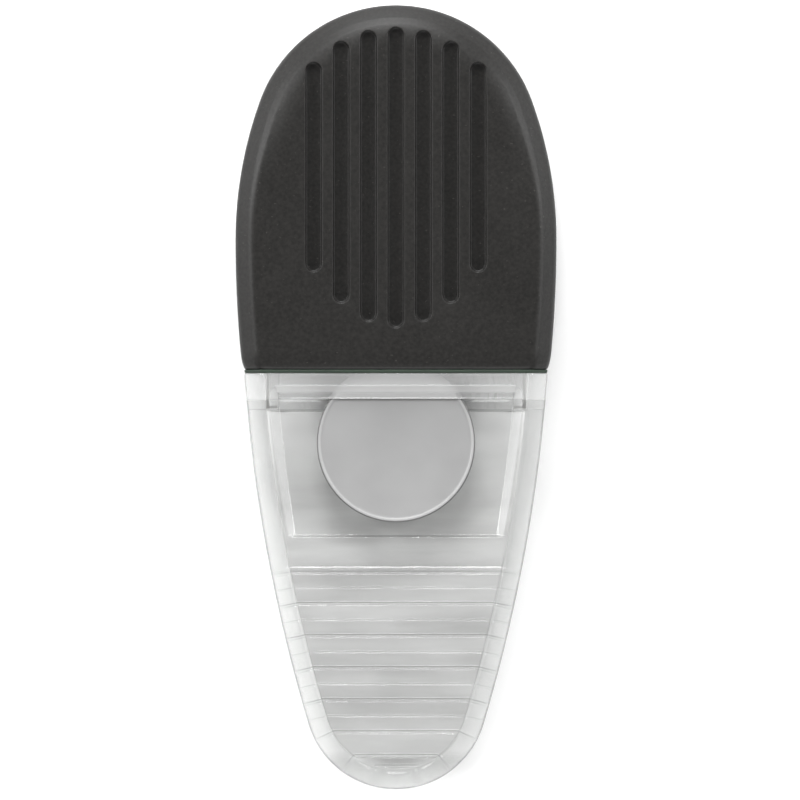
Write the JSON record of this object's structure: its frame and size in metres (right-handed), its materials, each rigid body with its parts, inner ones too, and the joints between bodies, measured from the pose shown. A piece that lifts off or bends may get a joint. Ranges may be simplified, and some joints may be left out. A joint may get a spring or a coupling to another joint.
{
  "type": "divot repair tool",
  "caption": "Golf divot repair tool: a grooved rubber cap pulls off a clear tapered handle to bare a two-pronged steel fork; a ball marker slides out of a recess.",
  "frame": {"origin": "middle of the closed tool's length and width, on the surface it lies on", "axes": "+X across the tool, +Y from the clear tail to the rubber cap's crown, +Z out of the front face"},
  "size_m": [0.0384, 0.0943, 0.014],
  "materials": {
    "grip_rubber": "fine matte moulded texture",
    "liner_plastic": "satin moulded",
    "clear_plastic": "clear, polished",
    "frosted_plastic": "frosted, translucent grey",
    "fork_steel": "stamped and tumbled stainless steel",
    "screw_steel": "zinc plated",
    "spring_steel": "bright rolled strip",
    "seal_rubber": "smooth soft rubber",
    "marker_plastic": "satin with a polished rim"
  },
  "bodies": {
    "handle": {"handle_front_shell": "clear_plastic", "handle_back_shell": "clear_plastic", "handle_core": "frosted_plastic", "fork": "fork_steel", "fork_screws": "screw_steel", "left_cap_spring": "spring_steel", "right_cap_spring": "spring_steel", "seal_ring": "seal_rubber"},
    "cap": {"cap_grip": "grip_rubber", "cap_liner": "liner_plastic"},
    "marker": {"ball_marker": "marker_plastic"}
  },
  "joints": [
    {"name": "cap_pull", "type": "slide", "parent": "handle", "child": "cap", "axis": [0, 1, 0], "range_m": [0, 0.045]},
    {"name": "marker_slide", "type": "slide", "parent": "handle", "child": "marker", "axis": [0, -1, 0], "range_m": [0, 0.024]}
  ]
}
